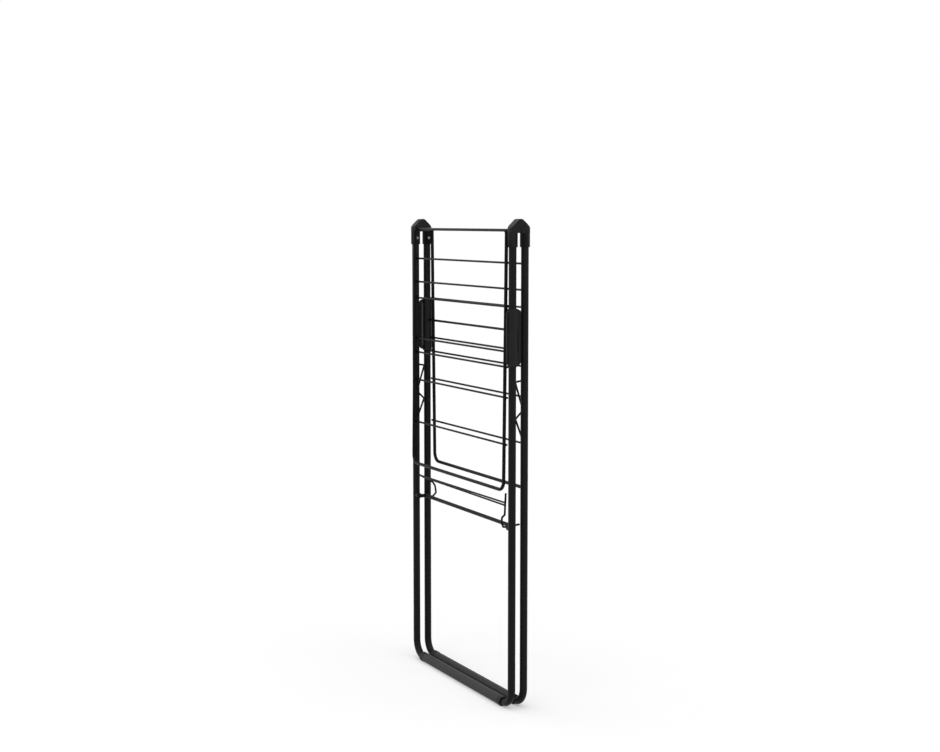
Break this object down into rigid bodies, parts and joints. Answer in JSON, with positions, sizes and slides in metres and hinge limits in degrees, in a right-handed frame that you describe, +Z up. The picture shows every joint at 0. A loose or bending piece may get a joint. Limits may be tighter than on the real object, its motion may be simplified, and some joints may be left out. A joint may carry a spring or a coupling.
{
  "type": "folding clothes drying rack",
  "caption": "Free-standing folding clothes drying rack, folded flat: tubular leg frames hinged at plastic caps, hanging rod, wire wings that swing up, hanger notches and a lower stay.",
  "frame": {"origin": "centre of the folded rack on the floor plane under the feet", "axes": "+X to the right along the rods, -Y to the front wing, +Z up"},
  "size_m": [0.5964, 0.0772, 1.283],
  "materials": {
    "black_tube": "satin powder coat",
    "black_wire": "satin powder coat",
    "dark_plastic": "fine matte",
    "foot_plastic": "fine matte",
    "fastener": "satin"
  },
  "bodies": {
    "front": {"front_leg_frame": "black_tube", "left_front_cap": "dark_plastic", "right_front_cap": "dark_plastic", "hinge_pins": "fastener", "front_cap_screws": "fastener", "top_rod": "black_tube", "front_wing_pivots": "fastener", "right_side_plate": "dark_plastic", "stay_clips": "dark_plastic", "front_feet": "foot_plastic"},
    "rear": {"rear_leg_frame": "black_tube", "left_rear_cap": "dark_plastic", "right_rear_cap": "dark_plastic", "rear_cap_screws": "fastener", "rear_wing_pivots": "fastener", "left_side_plate": "dark_plastic", "rear_cross_wire": "black_wire", "rear_feet": "foot_plastic"},
    "front_wing": {"front_wing_frame": "black_tube", "front_wing_wires": "black_wire", "front_hanger_wire": "black_wire"},
    "rear_wing": {"rear_wing_frame": "black_tube", "rear_wing_wires": "black_wire", "rear_hanger_wire": "black_wire"},
    "stay": {"stay_bar": "black_tube", "stay_left_hook": "black_wire", "stay_right_hook": "black_wire", "stay_wires": "black_wire"}
  },
  "joints": [
    {"name": "rear_leg_hinge", "type": "hinge", "parent": "front", "child": "rear", "pos_m": [0, 0, 1.272], "axis": [1, 0, 0], "range_deg": [0, 40]},
    {"name": "front_wing_hinge", "type": "hinge", "parent": "front", "child": "front_wing", "pos_m": [0, -0.027, 1.252], "axis": [-1, 0, 0], "range_deg": [0, 110]},
    {"name": "rear_wing_hinge", "type": "hinge", "parent": "rear", "child": "rear_wing", "pos_m": [0, 0.027, 1.252], "axis": [1, 0, 0], "range_deg": [0, 110]},
    {"name": "stay_hinge", "type": "hinge", "parent": "front", "child": "stay", "pos_m": [0, -0.018, 0.48369], "axis": [1, 0, 0], "range_deg": [0, 60]}
  ]
}
